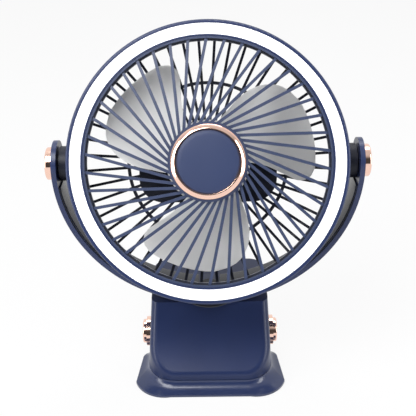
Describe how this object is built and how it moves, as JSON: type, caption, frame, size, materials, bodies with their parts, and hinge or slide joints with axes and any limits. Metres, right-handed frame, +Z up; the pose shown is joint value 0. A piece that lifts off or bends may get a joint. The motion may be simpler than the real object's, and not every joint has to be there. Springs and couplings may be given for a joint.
{
  "type": "clip fan with ring light",
  "caption": "Small clamp-on desk fan with a ring light round its grille, a swivelling and tilting head in a hoop yoke, and a spring clamp foot it also stands on.",
  "frame": {"origin": "on the table, under the swivel axis of the yoke", "axes": "+Z up, -Y is the side the fan blows to, +X to the right seen from in front of the fan with the viewer looking along +Y"},
  "size_m": [0.2224, 0.1196, 0.2599],
  "materials": {
    "navy_shell": "satin navy moulded plastic",
    "navy_grille": "satin navy moulded plastic",
    "dark_plastic": "very dark blue moulded plastic",
    "rose_gold": "polished rose gold plating",
    "white_plastic": "off-white moulded plastic",
    "diffuser": "milky light diffuser",
    "led_chip": "light emitting chip",
    "circuit_board": "green circuit board",
    "steel": "plain steel",
    "spring_steel": "oiled spring wire",
    "copper": "enamelled copper wire",
    "magnet": "ferrite magnet",
    "black_nylon": "black nylon",
    "rubber": "black rubber",
    "cell_wrap": "blue shrink wrap on lithium cells",
    "button_plastic": "navy push button"
  },
  "bodies": {
    "foot": {"foot": "navy_shell", "foot_cover": "dark_plastic", "ballast_plate": "steel", "foot_sole": "rubber", "clamp_springs": "spring_steel"},
    "upper_jaw": {"upper_jaw": "navy_shell", "jaw_pad": "rubber", "battery_floor": "dark_plastic", "battery_cells": "cell_wrap", "cell_tray": "dark_plastic", "charge_board": "circuit_board", "charge_port": "steel", "clamp_pin": "steel", "clamp_cap_left": "rose_gold", "clamp_cap_right": "rose_gold", "swivel_washer": "black_nylon"},
    "yoke": {"yoke_strap": "navy_shell", "yoke_liner": "dark_plastic", "pivot_cap_left": "rose_gold", "pivot_cap_right": "rose_gold", "friction_washer_left": "black_nylon", "friction_washer_right": "black_nylon", "swivel_saddle": "navy_shell", "swivel_bolt": "steel", "swivel_nut": "steel"},
    "head": {"light_ring_housing": "navy_shell", "ring_screws": "steel", "pod_screws": "steel", "light_diffuser": "diffuser", "light_board": "circuit_board", "light_chips": "led_chip", "front_grille": "navy_grille", "hub_trim_ring": "rose_gold", "hub_cap": "navy_shell", "rear_grille": "dark_plastic", "tilt_axle_left": "steel", "tilt_axle_right": "steel", "pod_shell": "dark_plastic", "pod_lid": "navy_shell", "control_board": "circuit_board", "board_posts": "dark_plastic", "tact_switches": "dark_plastic", "motor_mount": "dark_plastic", "motor_bearings": "steel", "stator_core": "steel", "stator_windings": "copper"},
    "impeller": {"impeller": "white_plastic", "impeller_nut": "white_plastic", "rotor_ring": "steel", "magnet_ring": "magnet", "motor_shaft": "steel"},
    "fan_button": {"fan_button": "button_plastic"},
    "light_button": {"light_button": "button_plastic"}
  },
  "joints": [
    {"name": "clamp_open", "type": "hinge", "parent": "foot", "child": "upper_jaw", "pos_m": [0, 0.005, 0.0185], "axis": [-1, 0, 0], "range_deg": [0, 28], "stiffness_Nm_per_rad": 1.6, "springref_deg": -51.57},
    {"name": "yoke_swivel", "type": "hinge", "parent": "upper_jaw", "child": "yoke", "pos_m": [0, 0, 0.058], "axis": [0, 0, 1], "range_deg": [-175, 175]},
    {"name": "head_tilt", "type": "hinge", "parent": "yoke", "child": "head", "pos_m": [0, 0, 0.165], "axis": [-1, 0, 0], "range_deg": [-115, 65]},
    {"name": "impeller_spin", "type": "hinge", "parent": "head", "child": "impeller", "pos_m": [0, 0, 0.165], "axis": [0, -0.9063, 0.4226], "continuous": true},
    {"name": "fan_button_press", "type": "slide", "parent": "head", "child": "fan_button", "axis": [0, -0.9063, 0.4226], "range_m": [0, 0.0008], "stiffness_N_per_m": 1500, "springref_m": -0.0006},
    {"name": "light_button_press", "type": "slide", "parent": "head", "child": "light_button", "axis": [0, -0.9063, 0.4226], "range_m": [0, 0.0008], "stiffness_N_per_m": 1500, "springref_m": -0.0006}
  ]
}
